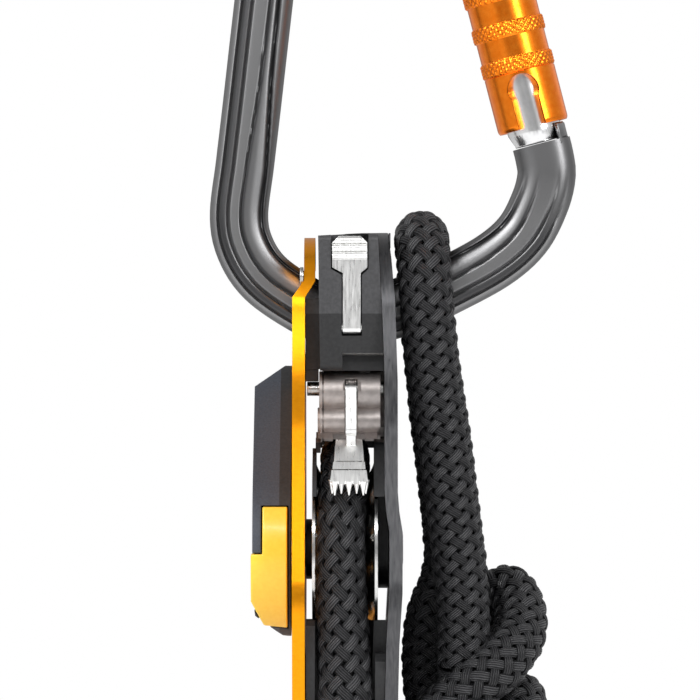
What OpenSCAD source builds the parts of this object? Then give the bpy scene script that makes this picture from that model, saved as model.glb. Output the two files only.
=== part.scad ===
// Rope grab with its carabiner connector and a knotted rope, hung from the top of the connector.
// +Z is up, +X is to the right of the device's opening side, +Y points to its back.
// The origin is the seat at the top inside the connector, where an anchor holds it.

/* [Rope] */
// Diameter of the rope
rope_d = 11; // [10.5:0.1:11]
// Radius of the rope's centre line over the cam
rope_turn_r = 18.6; // [18.5:0.05:18.7]

/* [Side plates] */
// Thickness of the moving side plate
moving_t = 2.5; // [2.4:0.1:2.9]
// Thickness of the fixed side plate
fixed_t = 2.6; // [2.4:0.1:2.7]
// Distance of each plate's inner face from the middle
plate_gap = 7.9; // [7.8:0.05:8]
// Radius of the attachment hole
hole_r = 9; // [8.8:0.1:9.2]
// Height of the attachment hole above the cam axle
hole_z = 48; // [47.9:0.05:48.1]

/* [Cam] */
// Radius of the cam's thin flanges
flange_r = 18; // [17.5:0.1:18.2]
// Half width of the cam across its flanges
cam_half_w = 6.5; // [6.4:0.05:6.5]
// Radius of the cam axle
axle_r = 4; // [3.6:0.1:4.1]

/* [Handle] */
// Radius of the handle's hub
hub_r = 17.4; // [16.8:0.1:17.6]
// Thickness of the handle across the hub
handle_t = 7.6; // [7.2:0.1:7.8]
// How far the safety button is pressed in
button_travel = 3; // [2:0.1:3]

/* [Connector] */
// Width of the connector's bar, seen from the front
bar_w = 11.7; // [11:0.1:11.8]
// Thickness of the connector's bar, front to back
bar_t = 9.6; // [9:0.1:9.8]
// Lean of the gate from upright, in degrees
gate_lean = 14.5; // [14.2:0.1:14.8]
// Radius of the gate's tube
gate_r = 4.5; // [4.3:0.05:4.5]
// Radius of the locking sleeve over its knurled bands
sleeve_r = 7.4; // [7.2:0.1:7.6]

/* [Fits] */
// Running clearance on a radius
fit = 0.05; // [0.03:0.01:0.08]
// Room around a piece that moves in a recess
room = 0.25; // [0.2:0.05:0.3]

/* [Hidden] */
$fn = 48;

rope_r = rope_d / 2;
// Height of the cam axle, below the anchor seat
axle_z = -140;
moving_out = -plate_gap - moving_t;
// The moving plate's outer face above its joggle
top_out = moving_out + 2.3;
fixed_out = plate_gap - 0.1 + fixed_t;
// The fixed plate's inner face, as [z, x] from the cam axle: it leans in towards the top, and is
// set out round the axle
fixed_face = [[64, 6.5], [58, 6.8], [50, 7.25], [45, 7.45], [40, 7.65], [34, 7.8], [12, 7.8],
    [8, 8.1], [4, 8.75], [-8, 8.7], [-13.7, 8.35], [-18.3, 8.1], [-28, 7.9], [-50, 7.9]];
// The plate thins towards its top
fixed_thin = [0.75, 0.92];
axle_out = 8.75 + fixed_t;
// The connector's centre line from its nose, round the basket and up the spine to the hinge
bar_route = [[39, 82], [39.9, 78.4], [40.3, 74.6], [39.0, 69.4], [35.6, 62.9], [29.9, 57.8],
    [21, 52.9], [12.5, 48.9], [6, 46.9], [1, 46.4], [-3.6, 46.9], [-8.4, 48.9], [-15.8, 54],
    [-19.8, 59.8], [-21.2, 66.5], [-20, 77], [-18.7, 88], [-17.4, 99.5], [-16.2, 110], [-15, 121],
    [-13.8, 131], [-11.4, 138.5], [-6.4, 143.9], [0, 145.8], [7, 145.3], [14, 142.6],
    [20.2, 138.4], [24.8, 133.4], [27.2, 129.5]];
// The gate's lower end, and where its hinge pin lies along it
gate_foot = [38.6, 80.9];
hinge_s = 54;
sleeve_from = 3.6;
sleeve_to = 38;
sleeve_bands = [14.9, 22.1, 29.4];
band_h = 3.1;
// The gate's wide lower cup ends here, and the sleeve's guide starts above it
cup_top = 15.6;
cup_r = 5.4;
lip_top = 3.3;
guide_r = 5.5;
collar_s = 38.4;
// The pivot of the toothed catch, from the cam axle, as [y, z]
catch_pivot = [-10, 32.1];
catch_x = 1.2;
tooth_x = 0.8;
cheek_x = 5.7;
catch_in_r = 24.9;
catch_out_r = 28;
latch_x = 1.35;
latch_pivot = [-15.9, 44.2];
ridges = [58.4, 60, 61.5];
block_front = -17.3;
block_in = -5.3;
block_back_in = -7.8;
plate_screws_block = [[11, 42.5], [-14, 40.2]];
plate_screws_housing = [[3, 30.5], [14, 28]];
plate_screws_guide = [[-6, -33], [6, -30]];
plate_screws_friction = [[26.8, 6], [26.8, -3]];
gate_base = [19, 30.5];
gate_tip = [12.6, 49.4];
stop_rivet = [-14, 54.4];
stop_r = 1.8;
button_z = [-14.8, -0.5, 8.8];
button_back = -9.5;
// The rope's route from the knot, down to its hanging bight, up into the device and down again
run_route = [[28, 1, -48.3], [29.5, 1, -56], [32, -1, -67], [33.5, -4, -79], [30.5, -8, -91],
    [23, -12, -100], [13, -15, -103], [3.5, -17, -99], [-2, -18, -89], [-3.5, -18.5, -77],
    [-2, -18.6, -63], [-0.6, -18.6, -50], [0, -18.6, -38], [0.1, -18.6, -27],
    [-0.2, -18.6, -16], [-0.3, -18.6, -6], [-0.3, -18.2, 3.6], [0, -15.5, 10.3],
    [0, -10.3, 15.5], [0, -3.6, 18.2], [0, 3.6, 18.2], [0, 10.3, 15.5], [0, 15.5, 10.3],
    [0, 18.2, 3.6], [0, 18.6, -6], [0, 18.6, -18], [0, 18.7, -32], [0.5, 19, -46],
    [1, 19.4, -60], [1.5, 19.8, -74], [1.5, 20, -86]];
// The rope's loop from the knot, up the front, over the connector's bar and down the back
loop_route = [[23.4, -9.6, -23], [23.5, -10, -14], [22.9, -10.4, -4], [21.2, -10.8, 10],
    [19.7, -11, 22], [18.2, -11.1, 32], [17, -11.2, 41], [16.1, -11, 50], [15.7, -9.2, 56.6],
    [15.4, -5.2, 60.9], [15.3, 0, 62.2], [15.4, 5.2, 60.9], [15.7, 9.2, 56.6], [16.1, 11, 50],
    [17, 11.2, 40], [18.2, 10.8, 28], [19.6, 10.2, 16], [20.8, 9.2, 5], [21.4, 8.4, -2.6]];
// The tail from inside the knot
tail_route = [[34.5, 7, -42], [36.5, 8.6, -48.3], [38.6, 9.6, -56], [40, 10.3, -64],
    [40.6, 10.6, -72]];

// ---- helpers -------------------------------------------------------------------------------

module at_axle() {
    translate([0, 0, axle_z]) children();
}

// A round bar along X
module rod_x(x0, x1, r) {
    translate([x0, 0, 0]) rotate([0, 90, 0]) cylinder(h = x1 - x0, r = r);
}

// A round bar along X at a place given as [y, z]
module rod_at(p, x0, x1, r) {
    translate([0, p[0], p[1]]) rod_x(x0, x1, r);
}

// A round bar along Y at a place given as [x, z]
module rod_y(p, y0, y1, r) {
    translate([p[0], y1, p[1]]) rotate([90, 0, 0]) cylinder(h = y1 - y0, r = r);
}

// An outline in Y and Z, given thickness along X
module slab_x(x0, x1) {
    translate([x0, 0, 0]) rotate([90, 0, 90]) linear_extrude(x1 - x0) children();
}

// An outline in X and Z, given depth along Y
module slab_y(y0, y1) {
    translate([0, y1, 0]) rotate([90, 0, 0]) linear_extrude(y1 - y0) children();
}

module disc_at(p, r) {
    translate(p) circle(r = r);
}

module ring(outer, inner) {
    difference() {
        circle(r = outer);
        circle(r = inner);
    }
}

module box(from, to) {
    translate(from) cube(to - from);
}

function unit(v) = v / norm(v);
function heading(p, i) = unit(p[min(i + 1, len(p) - 1)] - p[max(i - 1, 0)]);
function square_to(v, t) = unit(v - (v * t) * t);
// A sideways direction at each point of a route, carried along without twist
function sideways(p, first) =
    [for (i = 0, v = square_to(first, heading(p, 0)); i < len(p);
        i = i + 1, v = square_to(v, heading(p, min(i, len(p) - 1)))) v];
function spline(a, b, c, d, t) =
    0.5 * (2 * b + (c - a) * t + (2 * a - 5 * b + 4 * c - d) * t * t
        + (3 * b - a - 3 * c + d) * t * t * t);
// The route with extra points on a smooth curve between its own
function smooth(p, steps) = concat(
    [for (i = [0 : len(p) - 2]) for (s = [0 : steps - 1])
        spline(p[max(i - 1, 0)], p[i], p[i + 1], p[min(i + 2, len(p) - 1)], s / steps)],
    [p[len(p) - 1]]);

// A closed tube along a route; first is the sideways direction at its start
module tube(route, across, through, sides, first) {
    side = sideways(route, first);
    points = [for (i = [0 : len(route) - 1]) for (k = [0 : sides - 1])
        let (a = 360 * (k + 0.5) / sides, w = cross(heading(route, i), side[i]))
        route[i] + across * cos(a) * side[i] + through * sin(a) * w];
    last = (len(route) - 1) * sides;
    walls = [for (i = [0 : len(route) - 2]) for (k = [0 : sides - 1])
        let (a = i * sides + k, b = i * sides + (k + 1) % sides)
        each [[a, a + sides, b + sides], [a, b + sides, b]]];
    caps = [[for (k = [0 : sides - 1]) k], [for (k = [sides - 1 : -1 : 0]) last + k]];
    polyhedron(points, concat(walls, caps));
}

// A coil spring along Z, from z = 0
module coil(r, wire_r, turns, length) {
    steps = 10 * turns;
    rise = length - 2 * wire_r;
    route = [for (i = [0 : steps])
        [r * cos(36 * i), r * sin(36 * i), wire_r + rise * i / steps]];
    tube(route, wire_r, wire_r, 6, [1, 0, 0]);
}

// ---- connector -----------------------------------------------------------------------------

module at_gate() {
    translate([gate_foot[0], 0, gate_foot[1]]) rotate([0, -gate_lean, 0]) children();
}

module at_hinge() {
    at_gate() translate([0, 0, hinge_s]) children();
}

hinge_pin_r = 1.6;
tongue_half = 2.4;

// The thin wall beside the gate's foot, on the outer side of the nose
module nose_lip() {
    intersection() {
        translate([0, 0, -1]) linear_extrude(lip_top + 1) ring(cup_r + 0.8, cup_r + 0.2);
        box([3, -4.4, -2], [9, 4.4, lip_top]);
    }
}

module connector_frame() {
    route = [for (p = smooth(bar_route, 3)) [p[0], 0, p[1]]];
    color("slategray") at_axle() difference() {
        union() {
            difference() {
                tube(route, bar_w / 2, bar_t / 2, 16, [1, 0, 0]);
                at_gate() box([-9, -9, 0], [9, 9, 12]);
            }
            at_gate() nose_lip();
        }
        at_hinge() rod_y([0, 0], -tongue_half - room, tongue_half + room, 8.4);
        at_hinge() rod_y([0, 0], -bar_t, bar_t, hinge_pin_r + fit);
    }
}

module hinge_rivet() {
    color("silver") at_axle() at_hinge() rod_y([0, 0], -bar_t / 2 - 0.2, bar_t / 2 + 0.2, hinge_pin_r);
}

module connector_gate() {
    color("lightgray") at_axle() at_gate() difference() {
        union() {
            translate([0, 0, 0.3]) cylinder(h = 43.2, r = gate_r);
            translate([0, 0, 0.3]) cylinder(h = 2.6, r1 = gate_r - 0.1, r2 = cup_r);
            translate([0, 0, 2.9]) cylinder(h = cup_top - 2.9, r = cup_r);
            translate([0, 0, collar_s]) cylinder(h = 1.4, r = guide_r - 0.05);
            intersection() {
                box([-4.2, -tongue_half, 40], [4.2, tongue_half, hinge_s + 4.2]);
                union() {
                    translate([0, 0, hinge_s]) rod_y([0, 0], -5, 5, 4.2);
                    box([-4.2, -5, 40], [4.2, 5, hinge_s]);
                }
            }
        }
        translate([0, 0, hinge_s]) rod_y([0, 0], -5, 5, hinge_pin_r + fit);
        translate([0, 0, 26]) cylinder(h = 14, r = 2.9);
    }
}

module gate_spring() {
    color("silver") at_axle() at_gate() translate([0, 0, 26.4]) coil(2.2, 0.35, 7, 13);
}

module sleeve_guide() {
    color("dimgray") at_axle() at_gate() difference() {
        translate([0, 0, cup_top + 0.2]) cylinder(h = 14.2, r = guide_r);
        translate([0, 0, cup_top]) cylinder(h = 15, r = gate_r + fit);
    }
}

module sleeve_spring() {
    color("silver") at_axle() at_gate() translate([0, 0, 30.2]) coil(5.03, 0.33, 4, 8);
}

module locking_sleeve() {
    color("darkorange") at_axle() at_gate() difference() {
        union() {
            translate([0, 0, sleeve_from]) cylinder(h = sleeve_to - sleeve_from, r = sleeve_r - 0.3);
            for (s = sleeve_bands) translate([0, 0, s]) cylinder(h = band_h, r = sleeve_r);
        }
        translate([0, 0, 3]) cylinder(h = 40, r = guide_r + fit);
        box([-3.2, -9, 3], [2.5, -2, 11.2]);
        translate([-0.3, -2, 11.2]) rotate([90, 0, 0]) cylinder(h = 7, r = 3.2);
    }
}

// ---- side plates ---------------------------------------------------------------------------

module plate_outline(top_r) {
    hull() {
        disc_at([-1, 46], top_r);
        disc_at([-6, -8], 20);
        disc_at([2, -26], 22);
        disc_at([18, -2], 18);
    }
}

// The fixed plate seen from the front
module fixed_edge() {
    n = len(fixed_face) - 1;
    polygon(concat(
        [for (i = [0 : n]) [fixed_face[i][1], fixed_face[i][0]]],
        [for (i = [n : -1 : 0]) [fixed_face[i][1] + fixed_t * (i < 2 ? fixed_thin[i] : 1),
            fixed_face[i][0]]]));
}

// What a piece on the fixed plate has to leave free
module plate_room() {
    slab_y(-45, 45) offset(delta = 0.05) fixed_edge();
}

// The moving plate's edge, with its joggle below the top
module moving_edge() {
    polygon([[-plate_gap, -50], [-plate_gap, 50.2], [-plate_gap + 2, 53.4],
        [-plate_gap + 2, 64], [top_out, 64], [top_out, 53.6],
        [moving_out, 50.2], [moving_out, -50]]);
}

// A countersunk screw along X with its head flush at head_x
module plate_screw(p, tip_x, head_x, r) {
    rod_at(p, tip_x, head_x, r);
    translate([head_x - r, p[0], p[1]]) rotate([0, 90, 0]) cylinder(h = r, r1 = r, r2 = 2 * r);
}

module screw_group(places, tip_x, head_x, r) {
    for (p = places) plate_screw(p, tip_x, head_x, r);
}

screw_r = 1.5;
small_screw_r = 1.2;
// The block's screws sit where the fixed plate leans in
block_head_x = fixed_out - 0.3;
friction_head_x = axle_out - 0.45;

module fixed_plate() {
    color("darkslategray") at_axle() difference() {
        intersection() {
            slab_y(-40, 40) fixed_edge();
            slab_x(0, 20) plate_outline(17.2);
        }
        rod_at([0, hole_z], 0, 20, hole_r);
        rod_x(0, 20, axle_r + fit);
        screw_group(plate_screws_block, 0, block_head_x, screw_r + fit);
        screw_group(plate_screws_housing, 0, fixed_out, screw_r + fit);
        screw_group(plate_screws_guide, 0, fixed_out, screw_r + fit);
        screw_group(plate_screws_friction, 0, friction_head_x, small_screw_r + fit);
    }
}

// The tongue that closes the moving plate's notch, grown by extra on all sides
module gate_outline(extra) {
    hull() {
        disc_at(gate_base, 3 + extra);
        disc_at(gate_tip, 1.2 + extra);
    }
}

bush_r = 6;

module moving_plate() {
    color("goldenrod") at_axle() difference() {
        intersection() {
            slab_y(-40, 40) moving_edge();
            slab_x(-20, 0) plate_outline(16.2);
        }
        rod_at([0, hole_z], -20, 0, hole_r);
        // The notch follows the plate's own swing, so that the connector's bar leaves it
        slab_x(-20, 0) intersection() {
            ring(hole_z + hole_r, hole_z - hole_r);
            square([60, 70]);
        }
        slab_x(-20, 0) gate_outline(0.1);
        rod_at(stop_rivet, -20, top_out, stop_r + fit);
        rod_x(-20, 0, bush_r);
    }
}

module plate_bush() {
    color("peru") at_axle() slab_x(moving_out, -plate_gap) ring(bush_r, axle_r + fit);
}

module safety_gate() {
    color("black") at_axle() difference() {
        slab_x(moving_out + 0.2, -plate_gap - 0.2) gate_outline(0);
        rod_at(gate_base, -20, 0, 1.5);
    }
}

module gate_rivet() {
    color("silver") at_axle() {
        rod_at(gate_base, moving_out + 0.2, -plate_gap - 0.2, 1.5);
        rod_at(stop_rivet, top_out - 0.8, top_out - 0.1, stop_r);
    }
}

// ---- top block and latch -------------------------------------------------------------------

module block_outline() {
    hull() {
        disc_at([block_front + 1.8, 61.4], 1.5);
        disc_at([block_front + 1.5, 46.6], 1.5);
        disc_at([block_front + 2, 37.2], 1.5);
        disc_at([7, 54.5], 8.4);
        disc_at([11, 39.7], 4);
    }
}

module top_block() {
    color("dimgray") at_axle() difference() {
        union() {
            intersection() {
                slab_x(block_back_in, 9) block_outline();
                union() {
                    slab_y(-30, 30) polygon([[block_in, 62.4], [7, 63.1], [9, 63.1], [9, 34],
                        [block_in + 0.4, 34]]);
                    box([block_back_in, -13, 36], [0, 10, 50]);
                }
            }
            // The wall that comes down beside the housing
            box([block_back_in, -12.5, 33.55], [block_in, 8, 40]);
        }
        plate_room();
        rod_at([0, hole_z], -20, 20, hole_r);
        // The recess round the lever's head, and its slot
        slab_y(block_front - 1, -14.1) polygon([[latch_x - 4.1, 62.7], [latch_x + 3.3, 62.7],
            [latch_x + 3.3, 55.8], [latch_x + 2, 54.6], [latch_x + 2, 42.6], [latch_x - 2, 42.6],
            [latch_x - 2, 54.6], [latch_x - 4.1, 55.8]]);
        // The recess over the housing
        box([-0.5, block_front - 1, 30], [9, -13.6, 39.2]);
        rod_at(latch_pivot, latch_x - 3.4, latch_x + 3.4, 0.8);
        rod_y([latch_x, 59.8], -14.2, -10.6, 2.2);
        screw_group(plate_screws_block, -3, block_head_x, screw_r + fit);
    }
}

module block_screws() {
    color("gray") at_axle() intersection() {
        screw_group(plate_screws_block, -2.5, block_head_x, screw_r);
        box([-5, -30, 20], [fixed_out - 0.3, 30, 60]);
    }
}

module latch_lever() {
    color("silver") at_axle() difference() {
        union() {
            slab_y(-17, -14.4) polygon([[latch_x - 3.85, 61.4], [latch_x - 3.2, 62.3],
                [latch_x + 2.6, 62.3], [latch_x + 3.05, 61.4], [latch_x + 3.05, 56.1],
                [latch_x + 1.75, 55], [latch_x - 1.75, 55], [latch_x - 3.85, 56.1]]);
            for (z = ridges) rod_at([-17, z], latch_x - 3.85, latch_x + 3.05, 0.75);
            box([latch_x - 1.75, -17.2, latch_pivot[1]], [latch_x + 1.75, -14.6, 56]);
            rod_at(latch_pivot, latch_x - 1.75, latch_x + 1.75, 1.3);
        }
        rod_at(latch_pivot, -10, 10, 0.8 + fit);
    }
}

module latch_pin() {
    color("gray") at_axle() rod_at(latch_pivot, latch_x - 3.4, latch_x + 3.4, 0.8);
}

module latch_spring() {
    color("silver") at_axle()
        translate([latch_x, -10.7, 59.8]) rotate([90, 0, 0]) coil(1.6, 0.25, 4, 3.6);
}

// ---- friction housing and catch ------------------------------------------------------------

catch_pin_r = 1.4;
catch_hub_r = 2.7;

module housing_outline() {
    difference() {
        union() {
            disc_at([-10.4, 31.5], 4.1);
            disc_at([-11.3, 25.9], 3);
            translate([-11.3, 20]) square([29.3, 15.5]);
            // The rib behind the block
            translate([15.3, 30]) square([2.7, 7.2]);
        }
        circle(r = 24.5);
    }
}

module friction_housing() {
    color("dimgray") at_axle() difference() {
        union() {
            slab_x(-4.2, 7) housing_outline();
            slab_x(-4.6, -4.1) offset(delta = -0.6) housing_outline();
            slab_x(6.9, 9) intersection() {
                housing_outline();
                translate([-2, 20]) square([20, 17.2]);
            }
            slab_x(-5.1, -4.5) intersection() {
                offset(delta = 0.3) housing_outline();
                difference() {
                    translate([-20, 20]) square([38, 15.5]);
                    circle(r = 24.5);
                }
            }
            slab_x(-5.4, 6.4) intersection() {
                ring(27, 24.5);
                translate([-15.5, 22.3]) square([13.5, 2.1]);
            }
            slab_x(-5.4, -4.5) intersection() {
                housing_outline();
                translate([-14.5, 22.3]) square([12.5, 6]);
            }
            // Cheeks that keep the rope on the cam
            slab_x(-cheek_x - 0.7, -cheek_x) cheek_outline(20.3);
            slab_x(-cheek_x, -4.8) intersection() {
                ring(26, 22.4);
                translate([-24, 19.5]) square([16, 4]);
            }
            slab_x(-cheek_x - 0.1, -cheek_x + 0.1) cheek_outline(22.4);
            slab_x(cheek_x, 9) cheek_outline(22.6);
        }
        plate_room();
        box([-0.05, -20, 18], [2.5, catch_pivot[0] - catch_hub_r + 0.5, 34.1]);
        box([-0.4, -20, 31.6], [3.2, catch_pivot[0] - 3, 33.6]);
        rod_at(catch_pivot, -0.05, 2.5, catch_hub_r + 0.2);
        rod_at(catch_pivot, -10, 10, catch_pin_r);
        rod_at(catch_pivot, 2.4, 6.6, 2.5);
        rod_at([-11, 35.6], 2.8, 5, 1);
        box([-2.4, -20, 20], [4, -10.6, 23.2]);
        screw_group(plate_screws_housing, 1, fixed_out, screw_r + fit);
    }
}

// A cheek beside the rope, up to a height
module cheek_outline(top) {
    intersection() {
        ring(24.9, 18.6);
        translate([-24, 11]) square([16, top - 11]);
    }
}

module housing_screws() {
    color("gray") at_axle() screw_group(plate_screws_housing, 1.2, fixed_out, screw_r);
}

module catch_pin() {
    color("silver") at_axle() rod_at(catch_pivot, -7.5, plate_gap - 0.2, catch_pin_r);
}

// One band of the catch, a piece of a ring that widens from its top to its foot
module catch_band(foot, top, foot_half, top_half, outer) {
    intersection() {
        slab_x(-10, 10) ring(outer, catch_in_r);
        slab_y(-40, -10) polygon([[tooth_x - foot_half, foot], [tooth_x + foot_half, foot],
            [tooth_x + top_half, top], [tooth_x - top_half, top]]);
    }
}

module tooth(x, r, tip_z) {
    y = -sqrt(r * r - tip_z * tip_z);
    translate([x, y, tip_z]) cylinder(h = 2.7, r1 = 0.15, r2 = 0.8, $fn = 16);
}

module catch() {
    arm = 1.05;
    color("silver") at_axle() difference() {
        union() {
            rod_at(catch_pivot, catch_x - arm, catch_x + arm, catch_hub_r);
            slab_x(catch_x - arm, catch_x + arm) hull() {
                disc_at(catch_pivot, 1.5);
                disc_at([-16.2, 31.9], 1.1);
            }
            slab_x(catch_x - arm, catch_x + arm) hull() {
                disc_at([-16.2, 31.9], 1.1);
                disc_at([-17.2, 24.1], 1.2);
            }
            slab_x(catch_x - 0.9, catch_x + 0.9) hull() {
                disc_at([-16.4, 24], 1);
                disc_at([-15, 20.6], 1);
            }
            catch_band(13.5, 22.1, 3.3, 2.6, 26.6);
            catch_band(18, 20.9, 2.95, 2.75, 27.3);
            catch_band(16.4, 17.8, 3.25, 3.1, 27.7);
            catch_band(13.5, 16.2, 3.75, 3.45, catch_out_r);
            for (i = [-1 : 1]) tooth(tooth_x + 2.8 * i, 27.1, 11.3);
            for (x = [-3.3, -1.5, 1.5, 3.3]) tooth(tooth_x + x, 25.8, 11.6);
        }
        rod_at(catch_pivot, -10, 10, catch_pin_r + fit);
    }
}

module catch_spring() {
    color("silver") at_axle() translate([3.5, catch_pivot[0], catch_pivot[1]])
        rotate([0, 90, 0]) coil(1.95, 0.3, 4, 3);
}

// ---- cam -----------------------------------------------------------------------------------

groove_r = 5.9;
bush_in = axle_r + fit;
bush_out = 5.5;

module cam() {
    color("lightgray") at_axle() difference() {
        union() {
            rotate([0, 90, 0]) rotate_extrude() difference() {
                translate([bush_out, -cam_half_w]) square([flange_r - bush_out, 2 * cam_half_w]);
                translate([rope_turn_r, 0]) circle(r = groove_r);
            }
            rod_at([8.3, -9.5], -4.4, 4.4, 4);
        }
        rod_x(-20, 20, bush_out);
        difference() {
            rod_x(3, 20, 8.8);
            rod_x(2, 21, 6.6);
        }
    }
}

module cam_bush() {
    color("peru") at_axle() slab_x(-cam_half_w, cam_half_w) ring(bush_out, bush_in);
}

module cam_spring() {
    color("silver") at_axle() translate([3.2, 0, 0]) rotate([0, 90, 0]) coil(7.7, 0.4, 2.5, 3.1);
}

module cam_axle() {
    color("silver") at_axle() {
        rod_x(moving_out - 5.6, axle_out - 0.05, axle_r);
        rod_x(axle_out - 0.1, axle_out + 0.25, 3);
    }
}

module left_washer() {
    color("black") at_axle() slab_x(-plate_gap + 0.1, -cam_half_w - 0.1) ring(6, bush_in);
}

module right_washer() {
    color("black") at_axle() difference() {
        slab_x(cam_half_w + 0.1, 9) hull() {
            circle(r = 7.8);
            disc_at([-8.4, 14.5], 1.5);
        }
        rod_x(0, 20, bush_in);
        plate_room();
    }
}

// ---- rope guide and friction plate ---------------------------------------------------------

module rope_guide() {
    color("black") at_axle() difference() {
        union() {
            slab_x(-7.7, 9) polygon([[-17, -13.6], [-12, -13.6], [-6, -19], [12, -22],
                [12, -36], [8, -40], [-8, -40], [-15, -36]]);
            slab_x(-7.7, -5.9) polygon([[-21.5, -14.5], [-20.5, -13.4], [-12, -13.4], [-12, -30],
                [-17, -34], [-21.5, -22]]);
            slab_x(5.9, 9) polygon([[-21.5, -21.5], [-20, -20], [-8, -20], [-8, -30],
                [-17, -34], [-21.5, -24]]);
        }
        plate_room();
        translate([0, -rope_turn_r, -50]) cylinder(h = 60, r = rope_r + 0.4);
        rod_x(-20, 20, flange_r + 0.8);
        screw_group(plate_screws_guide, -4, fixed_out, screw_r + fit);
    }
}

module guide_screws() {
    color("gray") at_axle() screw_group(plate_screws_guide, -3.5, fixed_out, screw_r);
}

module friction_plate() {
    color("silver") at_axle() difference() {
        union() {
            slab_x(-5.6, 6.2) polygon([[24.4, -14], [24.4, 10], [25.4, 11], [29, 11],
                [29, -15], [25.4, -15]]);
            // The ear that is screwed to the fixed plate
            slab_x(6.1, 9) polygon([[24.4, -5.5], [24.4, 10], [25.4, 11], [29, 11], [29, -5.5]]);
        }
        plate_room();
        screw_group(plate_screws_friction, -1, friction_head_x, small_screw_r + fit);
    }
}

module friction_screws() {
    color("gray") at_axle() screw_group(plate_screws_friction, -0.8, friction_head_x,
        small_screw_r);
}

// ---- handle --------------------------------------------------------------------------------

handle_in = moving_out - 0.3;
handle_out = handle_in - handle_t;
// The cap's face lies below the handle's
cap_face = handle_out + 1.5;
cap_r = 5.6;
arm_end = [24, 30];

module handle_outline() {
    hull() {
        circle(r = hub_r);
        disc_at(arm_end, 6.6);
    }
}

// The handle seen from the front, with its outer corners cut back
module handle_edge() {
    polygon([[handle_in, -hub_r], [handle_in - 1.7, -hub_r + 0.3], [handle_out + 0.5, -12.9],
        [handle_out, -9], [handle_out, 32.4], [handle_in - 1.5, 36.6], [handle_in, 36.6]]);
}

// An outline in X and Z, grown by extra, through the handle's front half
module offset_y(extra) {
    slab_y(-30, 0) offset(delta = extra) children();
}

// The button's body: wide below with its outer corner cut back, narrow above, grown by extra
module button_body(front_r, back, extra) {
    intersection() {
        slab_x(handle_out - 1, handle_in) difference() {
            circle(r = front_r);
            translate([back, -40]) square([80, 80]);
        }
        offset_y(extra) polygon([[handle_out + 2, button_z[1]], [handle_out - 0.3, button_z[1]],
            [handle_out - 0.3, -9.9], [handle_out + 2.2, button_z[0]],
            [handle_in - 0.7, button_z[0] - 0.5], [handle_in - 0.7, button_z[2]],
            [handle_out + 2, button_z[2]]]);
    }
}

module handle() {
    color("black") at_axle() difference() {
        intersection() {
            slab_y(-40, 40) handle_edge();
            slab_x(handle_out - 1, handle_in) handle_outline();
        }
        button_body(30, button_back + button_travel + room, room);
        rod_x(handle_out - 1, cap_face, cap_r + room);
        rod_x(-40, 0, axle_r + fit);
        rod_y([handle_out + 4.2, -8], -12, -3, 2.2);
    }
}

module handle_cap() {
    color("dimgray") at_axle() slab_x(cap_face - 0.7, cap_face) ring(cap_r, 2.2);
}

module handle_screw() {
    color("silver") at_axle() {
        rod_x(cap_face - 0.6, handle_out + 2.2, 2);
        rod_x(cap_face - 1.4, cap_face - 0.75, 4.2);
        rod_x(cap_face - 0.8, cap_face - 0.5, 2);
    }
}

module handle_button() {
    color("gold") at_axle() button_body(hub_r + 0.9, button_back, 0);
}

module button_spring() {
    color("silver") at_axle()
        translate([handle_out + 4.2, -3.1, -8]) rotate([90, 0, 0]) coil(1.6, 0.25, 5, 6.3);
}

// ---- rope ----------------------------------------------------------------------------------

module rope_run() {
    color("black") at_axle() tube(run_route, rope_r, rope_r, 10, [1, 0, 0]);
}

module rope_loop() {
    color("black") at_axle() tube(loop_route, rope_r, rope_r, 10, [1, 0, 0]);
}

// An end sleeve just past the last point of a route
module end_sleeve(route, length) {
    last = route[len(route) - 1];
    way = heading(route, len(route) - 1);
    tube([last + 0.1 * way, last + length * way], rope_r + 0.3, rope_r + 0.3, 12, [1, 0, 0]);
}

module rope_end_sleeve() {
    color("dimgray") at_axle() end_sleeve(run_route, 12);
}

module tail_sleeve() {
    color("dimgray") at_axle() end_sleeve(tail_route, 10);
}

module rope_knot() {
    color("black") at_axle() {
        slab_y(-3.2, 13.6) hull() {
            disc_at([19.6, -11.4], 8);
            disc_at([32, -11.4], 8.4);
            disc_at([20.5, -38.6], 8);
            disc_at([32, -38.6], 8.4);
        }
        slab_y(-15.5, 0) hull() {
            disc_at([20.5, -32.4], 9);
            disc_at([31.6, -32.4], 9);
            disc_at([24, -39.2], 8);
            disc_at([30, -39.2], 8);
        }
        tube(tail_route, rope_r, rope_r, 10, [1, 0, 0]);
    }
}

connector_frame();
hinge_rivet();
connector_gate();
gate_spring();
sleeve_guide();
sleeve_spring();
locking_sleeve();
fixed_plate();
top_block();
block_screws();
latch_lever();
latch_pin();
latch_spring();
friction_housing();
housing_screws();
catch();
catch_pin();
catch_spring();
cam();
cam_bush();
cam_spring();
cam_axle();
left_washer();
right_washer();
rope_guide();
guide_screws();
friction_plate();
friction_screws();
moving_plate();
plate_bush();
safety_gate();
gate_rivet();
handle();
handle_cap();
handle_screw();
handle_button();
button_spring();
rope_run();
rope_end_sleeve();
rope_loop();
rope_knot();
tail_sleeve();
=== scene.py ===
"""The rope grab's looks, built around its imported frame. Units are metres, in the row frame."""

import math
import random

import bmesh
import bpy
import numpy as np
from mathutils import Matrix, Vector


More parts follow.
